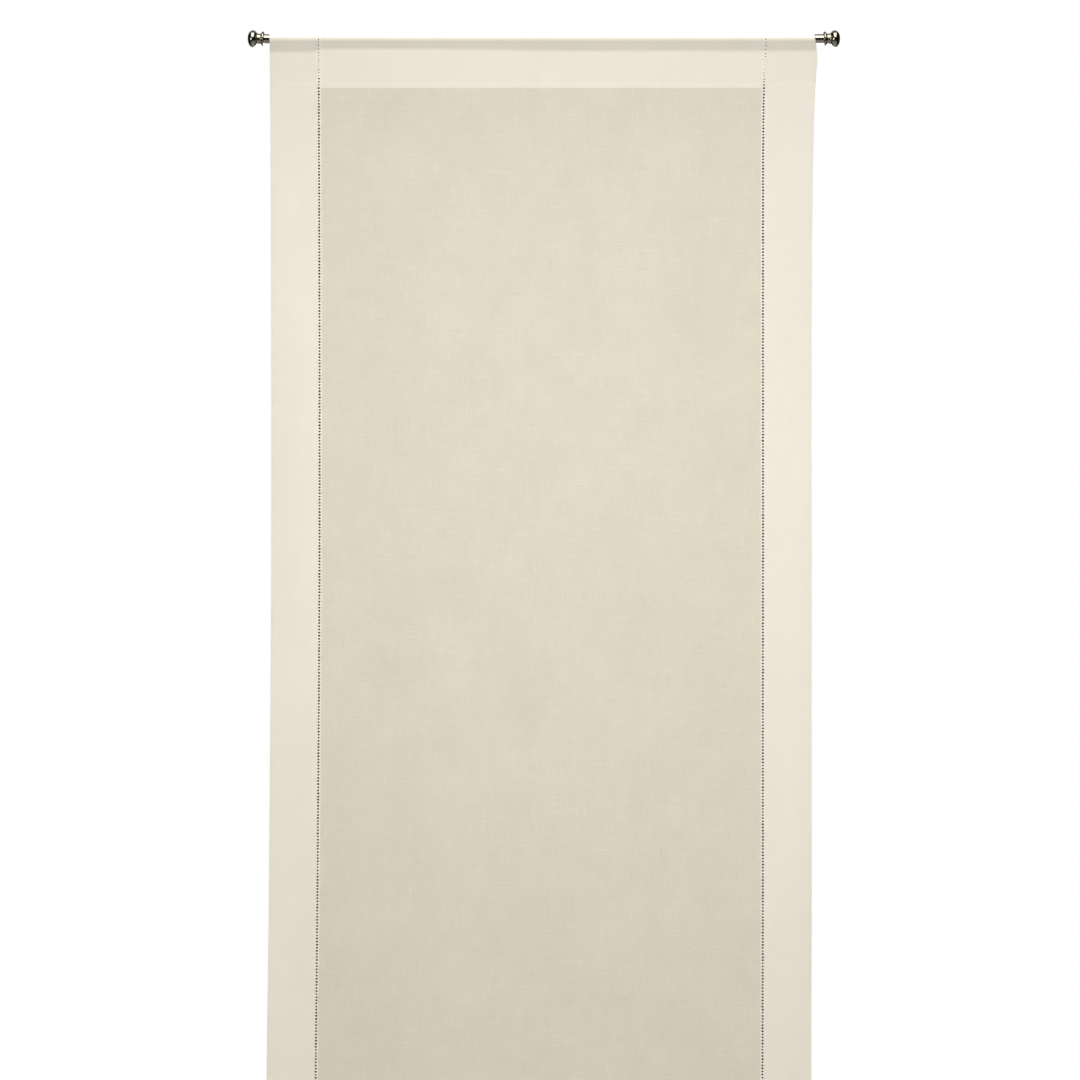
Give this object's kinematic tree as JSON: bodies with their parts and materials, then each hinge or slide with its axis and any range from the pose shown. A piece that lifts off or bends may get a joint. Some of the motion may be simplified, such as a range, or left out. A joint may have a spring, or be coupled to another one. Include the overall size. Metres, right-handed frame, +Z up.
{
  "type": "rod pocket curtain panel",
  "caption": "Flat linen curtain panel with hemstitched double borders and a rod channel, hung on an extending metal pole with turned knob finials.",
  "frame": {"origin": "on the pole's axis at mid-length, where the pole is held", "axes": "+X along the pole to the right finial, +Y from the room to the window, +Z up; the cloth hangs in the XZ plane"},
  "size_m": [1.4366, 0.041, 2.7477],
  "materials": {
    "linen_single": "natural linen, one layer, plain weave with slubs",
    "linen_double": "the same linen in two layers, so lighter against the light",
    "hemstitch": "drawn-thread openwork bound with matching thread",
    "sewing_thread": "matching polyester thread",
    "label_tape": "blank woven satin tape",
    "pole_metal": "dark nickel plated steel tube",
    "finial_metal": "polished dark nickel",
    "joiner_metal": "zinc plated",
    "rivet_metal": "plain",
    "stud_metal": "zinc plated threaded rod",
    "plug_plastic": "moulded nylon",
    "ring_rubber": "nitrile"
  },
  "bodies": {
    "rod": {"left_tube": "pole_metal", "joiner_tube": "joiner_metal", "joiner_rivet": "rivet_metal"},
    "right_rod": {"right_tube": "pole_metal"},
    "left_finial": {"left_finial_knob": "finial_metal", "left_finial_collar": "finial_metal", "left_finial_plug": "plug_plastic", "left_finial_stud": "stud_metal", "left_finial_o_rings": "ring_rubber"},
    "right_finial": {"right_finial_knob": "finial_metal", "right_finial_collar": "finial_metal", "right_finial_plug": "plug_plastic", "right_finial_stud": "stud_metal", "right_finial_o_rings": "ring_rubber"},
    "panel": {"centre_top_hem": "linen_single", "centre_cloth": "linen_single", "bottom_hemstitch": "hemstitch", "bottom_hem": "linen_double", "channel_thread": "sewing_thread", "top_hem_thread": "sewing_thread", "bottom_hem_thread": "sewing_thread", "left_top_hem": "linen_double", "left_border": "linen_double", "left_hemstitch_top": "hemstitch", "left_hemstitch": "hemstitch", "left_channel_thread": "sewing_thread", "left_top_hem_thread": "sewing_thread", "care_label": "label_tape"},
    "leading_edge": {"right_top_hem": "linen_double", "right_border": "linen_double", "right_hemstitch_top": "hemstitch", "right_hemstitch": "hemstitch", "right_channel_thread": "sewing_thread", "right_top_hem_thread": "sewing_thread"}
  },
  "joints": [
    {"name": "rod_extend", "type": "slide", "parent": "rod", "child": "right_rod", "axis": [1, 0, 0], "range_m": [0, 0.3]},
    {"name": "left_finial_pull", "type": "slide", "parent": "rod", "child": "left_finial", "axis": [-1, 0, 0], "range_m": [0, 0.038]},
    {"name": "right_finial_pull", "type": "slide", "parent": "right_rod", "child": "right_finial", "axis": [1, 0, 0], "range_m": [0, 0.038]},
    {"name": "panel_swing", "type": "hinge", "parent": "rod", "child": "panel", "pos_m": [0, 0, 0], "axis": [1, 0, 0], "range_deg": [-40, 40]},
    {"name": "edge_draw", "type": "slide", "parent": "panel", "child": "leading_edge", "axis": [-1, 0, 0], "range_m": [0, 0.538], "deforming": ["centre_top_hem", "centre_cloth", "bottom_hemstitch", "bottom_hem", "channel_thread", "top_hem_thread", "bottom_hem_thread"]}
  ]
}
